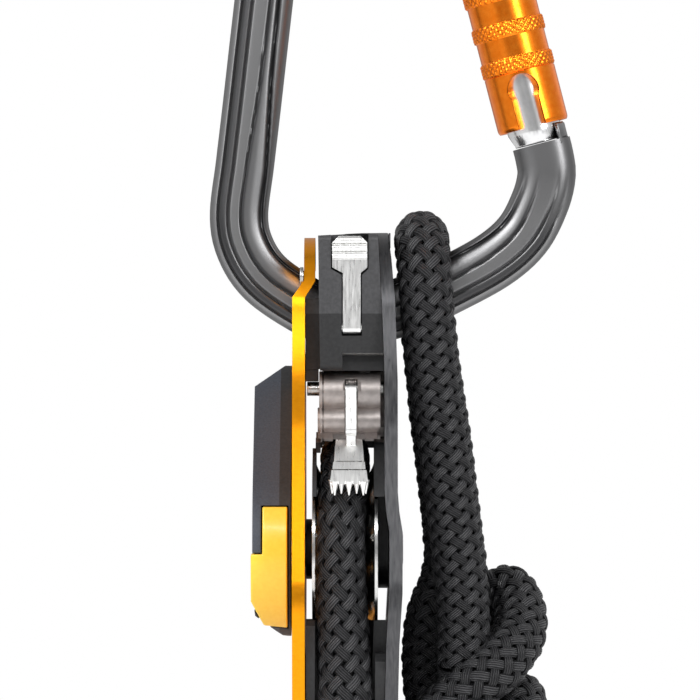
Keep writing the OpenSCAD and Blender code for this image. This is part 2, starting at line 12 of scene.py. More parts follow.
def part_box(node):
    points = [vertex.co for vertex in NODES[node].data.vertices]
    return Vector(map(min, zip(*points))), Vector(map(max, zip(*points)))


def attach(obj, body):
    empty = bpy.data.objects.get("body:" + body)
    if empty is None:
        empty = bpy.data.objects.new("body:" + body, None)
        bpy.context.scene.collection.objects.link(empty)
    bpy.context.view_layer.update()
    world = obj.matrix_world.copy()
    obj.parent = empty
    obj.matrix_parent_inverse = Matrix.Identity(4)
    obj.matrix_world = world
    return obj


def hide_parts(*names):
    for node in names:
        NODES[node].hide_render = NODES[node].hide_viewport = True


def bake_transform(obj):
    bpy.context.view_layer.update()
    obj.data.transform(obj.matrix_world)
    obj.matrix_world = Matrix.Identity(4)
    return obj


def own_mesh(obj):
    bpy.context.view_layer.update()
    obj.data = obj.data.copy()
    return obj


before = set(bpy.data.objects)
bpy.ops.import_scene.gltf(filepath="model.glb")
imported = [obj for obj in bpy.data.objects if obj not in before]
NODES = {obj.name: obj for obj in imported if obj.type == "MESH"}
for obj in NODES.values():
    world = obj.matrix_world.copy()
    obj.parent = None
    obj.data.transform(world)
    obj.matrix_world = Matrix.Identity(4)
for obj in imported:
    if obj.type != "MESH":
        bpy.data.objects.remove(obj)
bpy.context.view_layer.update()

MM = 0.001
AXLE_Z = -0.140
ROPE_D = 0.011


def at_axle(points):
    """Points given in millimetres from the cam axle, as metres in the row frame."""
    return [(x * MM, y * MM, z * MM + AXLE_Z) for x, y, z in points]


# ---- camera, light and floor ----------------------------------------------------------------

VIEW_CENTRE = Vector((0.001, 0.0, -0.1002))
VIEW_WIDTH = 0.140
CAMERA_DISTANCE = 1.25
SENSOR = 36.0
FLOOR_Z = -0.42


def make_camera():
    data = bpy.data.cameras.new("camera")
    data.sensor_width = SENSOR
    data.lens = SENSOR * CAMERA_DISTANCE / VIEW_WIDTH
    data.clip_start = 0.05
    data.clip_end = 20
    camera = bpy.data.objects.new("camera", data)
    camera.location = VIEW_CENTRE + Vector((0, -CAMERA_DISTANCE, 0))
    camera.rotation_euler = (math.radians(90), 0, 0)
    bpy.context.scene.collection.objects.link(camera)
    bpy.context.scene.camera = camera


# The lamps aim at the view's centre, as (name, place, size, power in watts)
LAMPS = [("key", (-0.6, -0.8, 0.5), (0.5, 0.5), 8),
         ("right", (0.75, -0.75, 0.3), (0.25, 0.6), 6),
         ("front", (0.0, -1.25, 0.53), (0.5, 0.08), 2.2)]


def make_lamp(name, place, size, power):
    data = bpy.data.lights.new(name, "AREA")
    data.shape = "RECTANGLE"
    data.size, data.size_y = size
    data.energy = power
    lamp = bpy.data.objects.new(name, data)
    lamp.location = place
    aim = VIEW_CENTRE - Vector(place)
    lamp.rotation_euler = aim.to_track_quat("-Z", "Y").to_euler()
    bpy.context.scene.collection.objects.link(lamp)


# How bright the studio is from left to right, as (place, grey), and from bottom to top
STUDIO_SIDES = [(0.0, 0.75), (0.18, 1.0), (0.34, 0.30), (0.5, 0.42), (0.62, 0.25), (0.80, 0.95),
                (1.0, 0.6)]
STUDIO_LOW, STUDIO_HIGH = 0.45, 1.25


def make_world():
    """White behind the object, and a studio with brighter and darker sides around it."""
    world = bpy.data.worlds.new("studio")
    world.use_nodes = True
    nodes, links = world.node_tree.nodes, world.node_tree.links
    backdrop = nodes["Background"]
    backdrop.inputs["Color"].default_value = (1, 1, 1, 1)
    backdrop.inputs["Strength"].default_value = 1.0
    place = nodes.new("ShaderNodeTexCoord")
    split = nodes.new("ShaderNodeSeparateXYZ")
    links.new(place.outputs["Generated"], split.inputs[0])
    half = nodes.new("ShaderNodeMapRange")
    half.inputs["From Min"].default_value = -1.0
    links.new(split.outputs["X"], half.inputs["Value"])
    sides = nodes.new("ShaderNodeValToRGB")
    ramp = sides.color_ramp
    ramp.interpolation = "EASE"
    while len(ramp.elements) < len(STUDIO_SIDES):
        ramp.elements.new(0.5)
    for element, (at, grey) in zip(ramp.elements, STUDIO_SIDES):
        element.position = at
        element.color = (grey, grey, grey, 1)
    links.new(half.outputs[0], sides.inputs["Fac"])
    rise = nodes.new("ShaderNodeMapRange")
    rise.inputs["From Min"].default_value = -1.0
    rise.inputs["To Min"].default_value = STUDIO_LOW
    rise.inputs["To Max"].default_value = STUDIO_HIGH
    links.new(split.outputs["Z"], rise.inputs["Value"])
    studio = nodes.new("ShaderNodeBackground")
    links.new(sides.outputs["Color"], studio.inputs["Color"])
    links.new(rise.outputs[0], studio.inputs["Strength"])
    rays = nodes.new("ShaderNodeLightPath")
    mix = nodes.new("ShaderNodeMixShader")
    links.new(rays.outputs["Is Camera Ray"], mix.inputs["Fac"])
    links.new(studio.outputs[0], mix.inputs[1])
    links.new(backdrop.outputs[0], mix.inputs[2])
    links.new(mix.outputs[0], nodes["World Output"].inputs["Surface"])
    bpy.context.scene.world = world


def make_floor():
    bpy.ops.mesh.primitive_plane_add(size=5, location=(0, 0, FLOOR_Z))
    floor = bpy.context.object
    floor.name = "floor"
    floor.data.materials.append(simple_material("floor_paint", (0.9, 0.9, 0.9), 0.0, 0.8))


# ---- materials ------------------------------------------------------------------------------

def simple_material(name, colour, metallic, roughness, specular=0.5, coat=0.0):
    material = bpy.data.materials.new(name)
    material.use_nodes = True
    shader = material.node_tree.nodes["Principled BSDF"]
    shader.inputs["Base Color"].default_value = (*colour, 1)
    shader.inputs["Metallic"].default_value = metallic
    shader.inputs["Roughness"].default_value = roughness
    shader.inputs["Specular IOR Level"].default_value = specular
    shader.inputs["Coat Weight"].default_value = coat
    shader.inputs["Coat Roughness"].default_value = 0.15
    return material


def add_noise(material, scale, detail=3.0):
    """A noise over the object's own coordinates, with scale (x, y, z) per metre."""
    nodes, links = material.node_tree.nodes, material.node_tree.links
    place = nodes.new("ShaderNodeTexCoord")
    stretch = nodes.new("ShaderNodeMapping")
    stretch.inputs["Scale"].default_value = scale
    links.new(place.outputs["Object"], stretch.inputs["Vector"])
    noise = nodes.new("ShaderNodeTexNoise")
    noise.inputs["Scale"].default_value = 1.0
    noise.inputs["Detail"].default_value = detail
    links.new(stretch.outputs[0], noise.inputs["Vector"])
    return noise.outputs["Fac"]


def add_bump(material, height, distance):
    nodes, links = material.node_tree.nodes, material.node_tree.links
    bump = nodes.new("ShaderNodeBump")
    bump.inputs["Strength"].default_value = 1.0
    bump.inputs["Distance"].default_value = distance
    links.new(height, bump.inputs["Height"])
    links.new(bump.outputs[0], nodes["Principled BSDF"].inputs["Normal"])


def vary_roughness(material, value, low, high):
    nodes, links = material.node_tree.nodes, material.node_tree.links
    spread = nodes.new("ShaderNodeMapRange")
    spread.inputs["From Min"].default_value = 0.3
    spread.inputs["From Max"].default_value = 0.7
    spread.inputs["To Min"].default_value = low
    spread.inputs["To Max"].default_value = high
    links.new(value, spread.inputs["Value"])
    links.new(spread.outputs[0], nodes["Principled BSDF"].inputs["Roughness"])


def vary_colour(material, value, dark, light):
    nodes, links = material.node_tree.nodes, material.node_tree.links
    ramp = nodes.new("ShaderNodeValToRGB")
    ramp.color_ramp.elements[0].position = 0.32
    ramp.color_ramp.elements[0].color = (*dark, 1)
    ramp.color_ramp.elements[1].position = 0.68
    ramp.color_ramp.elements[1].color = (*light, 1)
    links.new(value, ramp.inputs["Fac"])
    links.new(ramp.outputs["Color"], nodes["Principled BSDF"].inputs["Base Color"])


def brushed(name, dark, light, roughness, scale, depth, metallic=1.0, wear=0.07):
    """A metal with a grain: scale is small along the grain and large across it."""
    material = simple_material(name, light, metallic, roughness)
    grain = add_noise(material, scale, 4.0)
    vary_colour(material, grain, dark, light)
    vary_roughness(material, grain, roughness - wear, roughness + wear)
    add_bump(material, grain, depth)
    return material


def cast(name, dark, light, metallic, roughness, grain_per_m, depth, specular=0.5, coat=0.0):
    """A cast, moulded or blasted surface with an even grain."""
    material = simple_material(name, light, metallic, roughness, specular, coat)
    grain = add_noise(material, (grain_per_m,) * 3)
    vary_colour(material, grain, dark, light)
    add_bump(material, grain, depth)
    return material


# The plates' front edges lean a little, as (from, to, rise) in mm: between two heights over the
# axle the edge comes forward by rise, and with a negative rise it goes back
LEANS = ((37, 48, -0.3), (24, 36, 0.8), (-24, 22, -1.3))
LOOKS_FORWARD = -0.8


def leaning(material):
    """Tilts the shading of the faces that look forward, as LEANS says."""
    nodes, links = material.node_tree.nodes, material.node_tree.links
    place = nodes.new("ShaderNodeTexCoord")
    spot, facing = (nodes.new("ShaderNodeSeparateXYZ") for _ in range(2))
    links.new(place.outputs["Object"], spot.inputs[0])
    links.new(place.outputs["Normal"], facing.inputs[0])
    height = 0
    for low, high, rise in LEANS:
        step = nodes.new("ShaderNodeMapRange")
        step.interpolation_type = "SMOOTHSTEP"
        step.inputs["From Min"].default_value = AXLE_Z + low * MM
        step.inputs["From Max"].default_value = AXLE_Z + high * MM
        step.inputs["To Max"].default_value = rise * MM
        links.new(spot.outputs["Z"], step.inputs["Value"])
        height = math_node(material, "ADD", step.outputs[0], height)
    forward = math_node(material, "LESS_THAN", facing.outputs["Y"], LOOKS_FORWARD)
    bump = nodes.new("ShaderNodeBump")
    bump.inputs["Distance"].default_value = 1.0
    normal = nodes["Principled BSDF"].inputs["Normal"]
    links.new(forward, bump.inputs["Strength"])
    links.new(height, bump.inputs["Height"])
    links.new(normal.links[0].from_socket, bump.inputs["Normal"])
    links.new(bump.outputs[0], normal)
    return material


def make_finishes():
    return {
        "grey_anodised": bar_material(),
        "silver_anodised": cast("silver_anodised", (0.74, 0.74, 0.75), (0.82, 0.82, 0.82),
                                1.0, 0.24, 700, 0.000005),
        "orange_anodised": cast("orange_anodised", (0.92, 0.20, 0.010), (1.0, 0.26, 0.02),
                                1.0, 0.27, 900, 0.000006),
        "gold_anodised": leaning(brushed(
            "gold_anodised", (0.93, 0.33, 0.007), (0.97, 0.37, 0.010), 0.30, (900, 900, 2200),
            0.000002, wear=0.02)),
        "black_anodised": leaning(brushed(
            "black_anodised", (0.065, 0.065, 0.07), (0.105, 0.105, 0.109), 0.34,
            (2500, 500, 350), 0.00002, 0.8)),
        "steel": brushed("steel", (0.42, 0.42, 0.41), (0.6, 0.6, 0.59), 0.3,
                         (800, 800, 800), 0.00001),
        "polished_steel": brushed("polished_steel", (0.90, 0.90, 0.89), (1.0, 1.0, 0.99),
                                  0.32, (3000, 400, 300), 0.000003),
        "cam_steel": brushed("cam_steel", (0.62, 0.62, 0.61), (0.8, 0.8, 0.79), 0.2,
                             (900, 900, 900), 0.000005),
        "cast_steel": cast("cast_steel", (0.38, 0.345, 0.33), (0.47, 0.43, 0.415), 1.0, 0.42,
                           800, 0.00002),
        "screw_steel": cast("screw_steel", (0.30, 0.30, 0.30), (0.4, 0.4, 0.4), 1.0, 0.35,
                            1200, 0.00001),
        "spring_steel": simple_material("spring_steel", (0.5, 0.5, 0.5), 1.0, 0.3),
        "bronze": simple_material("bronze", (0.45, 0.27, 0.12), 1.0, 0.35),
        "block_plastic": cast("block_plastic", (0.032, 0.032, 0.034), (0.050, 0.050, 0.053),
                              0.0, 0.42, 1500, 0.00002),
        "guide_plastic": cast("guide_plastic", (0.006, 0.006, 0.007), (0.014, 0.014, 0.015),
                              0.0, 0.5, 1500, 0.00002),
        "handle_plastic": cast("handle_plastic", (0.036, 0.042, 0.056), (0.052, 0.061, 0.080),
                               0.0, 0.55, 2600, 0.00003),
        "yellow_plastic": cast("yellow_plastic", (0.93, 0.58, 0.035), (0.96, 0.63, 0.05),
                               0.0, 0.3, 1200, 0.000004, coat=0.3),
        "sleeve_rubber": cast("sleeve_rubber", (0.012, 0.012, 0.013), (0.022, 0.022, 0.023),
                              0.0, 0.6, 1500, 0.00003),
        "rope_fabric": rope_material(),
    }


def math_node(material, operation, a, b=None, c=None):
    """A Math node; each input is a number or another node's output."""
    node = material.node_tree.nodes.new("ShaderNodeMath")
    node.operation = operation
    for slot, value in zip(node.inputs, (a, b, c)):
        if isinstance(value, (int, float)):
            slot.default_value = value
        elif value is not None:
            material.node_tree.links.new(value, slot)
    return node.outputs[0]


def uv_parts(material, layer):
    """A layer's UVs as outputs: both together, U, and V."""
    nodes, links = material.node_tree.nodes, material.node_tree.links
    uv = nodes.new("ShaderNodeUVMap")
    uv.uv_map = layer
    split = nodes.new("ShaderNodeSeparateXYZ")
    links.new(uv.outputs["UV"], split.inputs[0])
    return uv.outputs["UV"], split.outputs["X"], split.outputs["Y"]


def blend_colour(material, value, dark, light):
    """Base colour from dark at 0 to light at 1."""
    nodes, links = material.node_tree.nodes, material.node_tree.links
    ramp = nodes.new("ShaderNodeValToRGB")
    ramp.color_ramp.elements[0].color = (*dark, 1)
    ramp.color_ramp.elements[1].color = (*light, 1)
    links.new(value, ramp.inputs["Fac"])
    links.new(ramp.outputs["Color"], nodes["Principled BSDF"].inputs["Base Color"])


def rope_material():
    """Nylon yarn, from the braid's own UVs: U runs along a yarn's pillow, V across it.

    Fine threads run along each pillow, and their crests are painted lighter as a painted highlight.
    Each pillow's rim is darkened as painted shade, and one way of the braid is dimmed by painted
    shade that stands for its weaker sheen: U's whole part is odd there."""
    material = simple_material("rope_fabric", (0.02, 0.02, 0.02), 0.0, 0.36, 0.45)
    nodes, links = material.node_tree.nodes, material.node_tree.links
    uv, along, across = uv_parts(material, "yarn")
    stretch = nodes.new("ShaderNodeMapping")
    stretch.inputs["Scale"].default_value = (3.5, 45.0, 1)
    links.new(uv, stretch.inputs["Vector"])
    noise = nodes.new("ShaderNodeTexNoise")
    noise.inputs["Scale"].default_value = 1.0
    noise.inputs["Detail"].default_value = 2.0
    links.new(stretch.outputs[0], noise.inputs["Vector"])
    wave = math_node(material, "COSINE",
                     math_node(material, "MULTIPLY", across, THREADS * 2 * math.pi))
    height = math_node(material, "MULTIPLY_ADD", wave, -0.5, noise.outputs["Fac"])
    add_bump(material, height, 0.0002)

    def off_middle(value):
        return math_node(material, "ABSOLUTE", math_node(material, "SUBTRACT", value, 0.5))

    rim = math_node(material, "MAXIMUM", off_middle(math_node(material, "FRACT", along)),
                    off_middle(across))
    # Painted shade: each pillow's rim is darkened where the pillows meet
    inside = nodes.new("ShaderNodeMapRange")
    inside.inputs["From Min"].default_value = 0.49
    inside.inputs["From Max"].default_value = 0.30
    links.new(rim, inside.inputs["Value"])
    # Painted shade: one way of the braid is dimmed, standing for its weaker sheen
    way_shade = math_node(material, "MULTIPLY", math_node(material, "FRACT", math_node(
        material, "MULTIPLY", math_node(material, "FLOOR", along), 0.5)), 2 * PAINTED_WAY_SHADE)
    # Painted highlight: the threads' crests come out lighter than their hollows
    shade = math_node(material, "MULTIPLY_ADD", height, 0.62, 0.15)
    shade = math_node(material, "MULTIPLY", shade, inside.outputs[0])
    shade = math_node(material, "MULTIPLY", shade, math_node(material, "SUBTRACT", 1.0, way_shade))
    # The base colour runs from painted shade to painted highlight, and the specular follows it
    blend_colour(material, shade, (0.0015, 0.0015, 0.002), (0.075, 0.075, 0.08))
    specular = math_node(material, "MULTIPLY_ADD", shade, 0.7, 0.08)
    links.new(specular, nodes["Principled BSDF"].inputs["Specular IOR Level"])
    return material


def bar_material():
    """Anodised bar with painted light, from the bar's own UVs: U is a painted highlight on its ribs
    and painted shade in its grooves.
    """
    material = simple_material("grey_anodised", (0.2, 0.2, 0.2), 1.0, 0.38)
    add_bump(material, add_noise(material, (900,) * 3), 0.00001)
    # The profile layer's U is painted light, from painted shade at 0 to painted highlight at 1
    _, shade, _ = uv_parts(material, "profile")
    blend_colour(material, shade, (0.05, 0.05, 0.052), (0.38, 0.38, 0.385))
    return material


# How much painted shade dims one way of the braid, standing for its weaker sheen, and the threads
# across one yarn's pillow
PAINTED_WAY_SHADE = 0.42
THREADS = 5.5
FINISH = make_finishes()

# ---- hard parts -----------------------------------------------------------------------------

SHARP = math.radians(34)


def new_object(name, vertices, faces, uvs=None, layer_name="yarn"):
    mesh = bpy.data.meshes.new(name)
    mesh.from_pydata([tuple(v) for v in vertices], [], faces)
    mesh.polygons.foreach_set("use_smooth", [True] * len(mesh.polygons))
    if uvs is not None:
        layer = mesh.uv_layers.new(name=layer_name)
        corner = np.zeros(len(mesh.loops), np.int32)
        mesh.loops.foreach_get("vertex_index", corner)
        layer.data.foreach_set("uv", np.asarray(uvs, np.float32)[corner].ravel())
    obj = bpy.data.objects.new(name, mesh)
    bpy.context.scene.collection.objects.link(obj)
    return obj


def mark_sharp(bm):
    """Shades faces smooth, except across edges that turn more than SHARP."""
    for edge in bm.edges:
        edge.smooth = edge.is_manifold and edge.calc_face_angle(0) < SHARP
    for face in bm.faces:
        face.smooth = True


def finish_with(obj, slot, body=None, nodes=()):
    """Gives a piece its finish, the body it rides on and the CAD nodes it stands for."""
    obj.data.materials.clear()
    obj.data.materials.append(FINISH[slot])
    if body:
        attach(obj, body)
    if nodes:
        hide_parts(*nodes)
    return obj


def slice_off(bm, way, level, beyond):
    """Keeps the part of a mesh beyond or before a level along a way, and closes the cut."""
    way = Vector(way)
    cut = bmesh.ops.bisect_plane(bm, geom=[*bm.verts, *bm.edges, *bm.faces],
                                 plane_co=way * level, plane_no=way,
                                 clear_inner=beyond, clear_outer=not beyond)
    rim = [e for e in cut["geom_cut"] if isinstance(e, bmesh.types.BMEdge)]
    bmesh.ops.triangle_fill(bm, edges=rim, use_beauty=True, use_dissolve=True)


def upper_corners(node, leg):
    """The two cuts that chamfer a node's upper corners."""
    (left, _, _), (right, _, top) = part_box(node)
    cuts = []
    for x, side in ((left, -1), (right, 1)):
        way = Vector((side, 0, 1)).normalized()
        cuts.append((way, way.dot(Vector((x, 0, top))) - leg * MM * way.z, False))
    return cuts


def soften(node, slot, body, round_mm, name=None, cuts=()):
    """A copy of a CAD node with its edges rounded; each cut, (way, level, beyond), keeps a part.

    Only a copy without a name of its own takes the node's place."""
    mesh = NODES[node].data.copy()
    bm = bmesh.new()
    bm.from_mesh(mesh)
    for cut in cuts:
        slice_off(bm, *cut)
    bmesh.ops.remove_doubles(bm, verts=bm.verts, dist=2e-6)
    bmesh.ops.dissolve_limit(bm, angle_limit=math.radians(1), verts=bm.verts, edges=bm.edges)
    mark_sharp(bm)
    bm.to_mesh(mesh)
    bm.free()
    obj = bpy.data.objects.new(name or node + "_soft", mesh)
    bpy.context.scene.collection.objects.link(obj)
    bevel = obj.modifiers.new("round", "BEVEL")
    bevel.width = round_mm * MM
    bevel.segments = 3
    bevel.limit_method = "ANGLE"
    bevel.angle_limit = SHARP
    weights = obj.modifiers.new("even", "WEIGHTED_NORMAL")
    weights.keep_sharp = True
    return finish_with(obj, slot, body, [] if name else [node])


# ---- rope -----------------------------------------------------------------------------------

# The rope's routes, in millimetres from the cam axle
RUN_ROUTE = [(28, 1, -48.3), (29.5, 1, -56), (32, -1, -67), (33.5, -4, -79), (30.5, -8, -91),
             (23, -12, -100), (13, -15, -103), (3.5, -17, -99), (-2, -18, -89), (-3.5, -18.5, -77),
             (-2, -18.6, -63), (-0.6, -18.6, -50), (0, -18.6, -38), (0.1, -18.6, -27),
             (-0.4, -18.6, -16), (-0.8, -18.6, -6), (-0.8, -18.2, 3.6), (-0.5, -15.5, 10.3),
             (0, -10.3, 15.5), (0, -3.6, 18.2), (0, 3.6, 18.2), (0, 10.3, 15.5),
             (0, 15.5, 10.3), (0, 18.2, 3.6), (0, 18.6, -6), (0, 18.6, -18), (0, 18.7, -32),
             (0.5, 19, -46), (1, 19.4, -60), (1.5, 19.8, -74), (1.5, 20, -86)]
LOOP_ROUTE = [(23.4, -9.6, -23), (23.5, -10, -14), (22.9, -10.4, -4), (21.2, -10.8, 10),
              (19.7, -11, 22), (18.2, -11.1, 32), (17, -11.2, 41), (16.1, -11, 50),
              (15.7, -9.2, 56.6), (15.4, -5.2, 60.9), (15.3, 0, 62.2), (15.4, 5.2, 60.9),
              (15.7, 9.2, 56.6), (16.1, 11, 50), (17, 11.2, 40), (18.2, 10.8, 28),
              (19.6, 10.2, 16), (20.8, 9.2, 5), (21.4, 8.4, -2.6)]
# The working part: on from the front strand, up behind, twice round, and out as the tail
WRAP_ROUTE = [(23.4, -9.6, -22.5), (23.8, -7, -29), (25.5, 0, -32), (28.5, 6.5, -27),
              (29.3, 8, -18), (29.8, 7, -11.5), (32.4, 3.4, -8.6), (34.6, -1, -11.5),
              (34.6, -6, -17), (31, -10.6, -22.2), (25.5, -12.6, -26.6), (19.8, -11, -31.5),
              (16, -5.5, -36), (15.8, 2, -37.5), (19.5, 8, -36), (26.5, 9, -33.5),
              (33.3, 5, -30.5), (35, -1, -30.5), (33.6, -6.5, -34.5), (28.5, -10, -39.5),
              (22.5, -9, -43), (18.4, -4, -45.5), (20, 4, -46.5), (27, 9.2, -46),
              (33.5, 8.6, -48.3), (38.2, 9.6, -56), (40, 10.3, -64), (40.6, 10.6, -72)]
# The standing part inside the knot, from the back strand down to the hanging bight
STANDING_ROUTE = [(21.4, 8.4, -2), (19.8, 6.6, -8), (17.4, 4.2, -14), (16.7, 2.4, -22),
                  (17.4, 0.6, -30), (21, -1, -38), (26, 0.4, -44), (28, 1, -48.8)]
RUN_PITCH = 0.0040
LOOP_PITCH = 0.0031
COLUMNS = 8
SEED = 11


def smooth_line(points, step=0.0004):
    """A dense, evenly spaced line on a smooth curve through the points."""
    p = np.array([points[0], *points, points[-1]], float)
    t = np.linspace(0, 1, 24, endpoint=False)[:, None]
    spans = [0.5 * (2 * b + (c - a) * t + (2 * a - 5 * b + 4 * c - d) * t ** 2
                    + (3 * b - a - 3 * c + d) * t ** 3)
             for a, b, c, d in zip(p, p[1:], p[2:], p[3:])]
    line = np.vstack([*spans, p[-1:]])
    along = np.concatenate([[0], np.cumsum(np.linalg.norm(np.diff(line, axis=0), axis=1))])
    even = np.linspace(0, along[-1], max(8, int(along[-1] / step)))
    return np.stack([np.interp(even, along, line[:, k]) for k in range(3)], axis=1), even


class Sweep:
    """Maps distance along a route, angle and radius to points in space."""

    def __init__(self, points):
        self.line, self.along = smooth_line(points)
        self.length = self.along[-1]
        way = np.gradient(self.line, axis=0)
        self.way = way / np.linalg.norm(way, axis=1)[:, None]
        self.side = np.zeros_like(self.way)
        v = np.array([1.0, 0, 0])
        for i, t in enumerate(self.way):
            v = v - (v @ t) * t
            v = v / np.linalg.norm(v)
            self.side[i] = v
        self.up = np.cross(self.way, self.side)

    def pick(self, values, s):
        return np.stack([np.interp(s, self.along, values[:, k]) for k in range(3)], axis=-1)

    def at(self, s, angle, radius):
        out = (np.cos(angle)[..., None] * self.pick(self.side, s)
               + np.sin(angle)[..., None] * self.pick(self.up, s))
        return self.pick(self.line, s) + radius[..., None] * out


YARN_P = np.linspace(-0.93, 0.93, 8)
YARN_Q = np.linspace(-0.485, 0.485, 7)
# Shares of the rope's radius: its core, a pillow's rise over it, and the drop at a pillow's rim
CORE, RISE, RIM_DROP = 0.80, 0.20, 0.17
CORE_SIDES = 24


def tube_faces(rings, sides):
    """Faces of a closed tube of rings, with both ends shut."""
    walls = [(i * sides + k, i * sides + (k + 1) % sides,
              (i + 1) * sides + (k + 1) % sides, (i + 1) * sides + k)
             for i in range(rings - 1) for k in range(sides)]
    ends = [tuple(range(sides - 1, -1, -1)),
            tuple((rings - 1) * sides + k for k in range(sides))]
    return walls + ends


def yarn_faces():
    """Faces of one yarn's pillow, with the face that shuts it underneath."""
    rows, columns = len(YARN_P), len(YARN_Q)
    quads = [(r * columns + c, (r + 1) * columns + c, (r + 1) * columns + c + 1,
              r * columns + c + 1) for r in range(rows - 1) for c in range(columns - 1)]
    border = ([r * columns for r in range(rows)]
              + [(rows - 1) * columns + c for c in range(1, columns)]
              + [r * columns + columns - 1 for r in range(rows - 2, -1, -1)]
              + [c for c in range(columns - 2, 0, -1)])
    return quads + [tuple(border[::-1])]


def braided(name, points, pitch, slim=None, seed=SEED):
    """A rope: a core under a sheath of sixteen yarns, each seen as a row of pillows.

    slim gives the radius at a distance along, where the rope is squeezed."""
    sweep = Sweep(points)
    radius_at = slim or (lambda s: np.full(np.shape(s), ROPE_D / 2))
    draw = random.Random(seed)
    rings = max(8, int(sweep.length / 0.0012))
    s, angle = np.meshgrid(np.linspace(0, sweep.length, rings),
                           np.linspace(0, 2 * math.pi, CORE_SIDES, endpoint=False),
                           indexing="ij")
    vertices = [sweep.at(s, angle, radius_at(s) * CORE).reshape(-1, 3)]
    uvs = [np.zeros((s.size, 2))]
    faces = tube_faces(rings, CORE_SIDES)
    count = s.size
    pillow = yarn_faces()
    half_c = math.pi / COLUMNS
    half_v = sweep.length / max(2, round(sweep.length / (pitch / 2)))
    p, q = np.meshgrid(YARN_P, YARN_Q, indexing="ij")
    crown = 1 - np.abs(p) ** 2.4
    edge = 1 - np.sqrt(np.clip(1 - np.abs(q / 0.5) ** 2.4, 0, 1))
    for j in range(0, round(sweep.length / half_v) + 1):
        for m in range(j % 2, 2 * COLUMNS, 2):
            sign = 1 if j % 2 else -1
            lift = draw.uniform(-0.014, 0.012)
            push = draw.uniform(-0.06, 0.06)
            wide = draw.uniform(0.88, 0.94)
            theta = (m + p + q * wide + push * 0.3) * half_c
            along = np.clip((j + sign * (p - q * wide) + push) * half_v, 0, sweep.length)
            r = radius_at(along) * (CORE + RISE * crown + lift - RIM_DROP * edge)
            vertices.append(sweep.at(along, theta, r).reshape(-1, 3))
            place = 2 * draw.randrange(0, 6) + (sign < 0) + 0.5
            uvs.append(np.stack([p.ravel() * 0.5 + place, q.ravel() + 0.5], axis=1))
            faces += [tuple(count + i for i in (f[::-1] if sign > 0 else f)) for f in pillow]
            count += p.size
    return new_object(name, np.vstack(vertices), faces, np.vstack(uvs)), sweep


# How far the cam's groove squeezes the rope, from 0 to 1, by distance along the run in metres
SQUEEZED_AT = [0.150, 0.172, 0.186, 0.250, 0.262]
SQUEEZED = [0, 0.4, 1, 1, 0]
SQUEEZE = 0.00055


def run_radius(s):
    """The rope is squeezed where it lies in the cam's groove."""
    return ROPE_D / 2 - SQUEEZE * np.interp(s, SQUEEZED_AT, SQUEEZED)


def make_ropes():
    run, run_way = braided("rope_run_braid", at_axle(RUN_ROUTE), RUN_PITCH, run_radius)
    finish_with(run, "rope_fabric", nodes=["rope_run"])
    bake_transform(run)
    loop, loop_way = braided("rope_loop_braid", at_axle(LOOP_ROUTE), LOOP_PITCH, seed=SEED + 1)
    finish_with(loop, "rope_fabric", "connector", ["rope_loop"])
    wrap, _ = braided("rope_knot_braid", at_axle(WRAP_ROUTE), LOOP_PITCH, seed=SEED + 2)
    finish_with(wrap, "rope_fabric", "connector", ["rope_knot"])
    standing, _ = braided("rope_standing_braid", at_axle(STANDING_ROUTE), LOOP_PITCH,
                          seed=SEED + 3)
    finish_with(standing, "rope_fabric", "connector")


# ---- connector ------------------------------------------------------------------------------

BAR_ROUTE = [(39, 82), (39.9, 78.4), (40.3, 74.6), (39.0, 69.4), (35.6, 62.9), (29.9, 57.8),
             (21, 52.9), (12.5, 48.9), (6, 46.9), (1, 46.4), (-3.6, 46.9), (-8.4, 48.9), (-15.8, 54),
             (-19.8, 59.8), (-21.2, 66.5), (-20, 77), (-18.7, 88), (-17.4, 99.5), (-16.2, 110),
             (-15, 121), (-13.8, 131), (-11.4, 138.5), (-6.4, 143.9), (0, 145.8), (7, 145.3),
             (14, 142.6), (20.2, 138.4), (24.8, 133.4), (27.2, 129.5)]
BAR_W = 11.7
BAR_T = 9.6
GATE_FOOT = (38.6, 80.9)
GATE_LEAN = math.radians(14.5)
HINGE_S = 54.0
CYLINDER_SIDES = 48
LIP_IN, LIP_OUT, LIP_TOP = 5.6, 6.2, 3.3
LIP_HALF_TURN = math.radians(44)
# What is cut from the bar: the gate's gap at its foot, and the slot and rivet hole at its hinge
GAP_HALF, GAP_TOP = 9, 12
SLOT_R, SLOT_HALF = 8.4, 2.65
RIVET_R, RIVET_HALF = 1.65, 8
# Where the bar's pocket ends on its inner side, by distance along the bar in millimetres
POCKET_AT = [0, 16, 42, 77, 102, 120, 137, 232]
POCKET_EDGE = [0.30, 0.25, 0.10, 0.08, 0.06, 0.20, 0.24, 0.24]
RIB_EDGE = [0.70, 0.72, 0.78, 0.78, 0.74, 0.55, 0.50, 0.50]


def groove(u, at, width, depth):
    """A rounded groove's depth across the bar."""
    return depth * np.exp(-((u - at) / width) ** 2)


def step(u, at, width):
    """Rises from 0 to 1 about a place across the bar."""
    return 1 / (1 + np.exp(-(u - at) / width))


def bar_zones(s):
    """Where the pocket and the rib end across the bar, and how far both fade to its ends."""
    fade = np.clip((s - 7) / 12, 0, 1) * np.clip((238 - s) / 14, 0, 1)
    return np.interp(s, POCKET_AT, POCKET_EDGE), np.interp(s, POCKET_AT, RIB_EDGE), fade


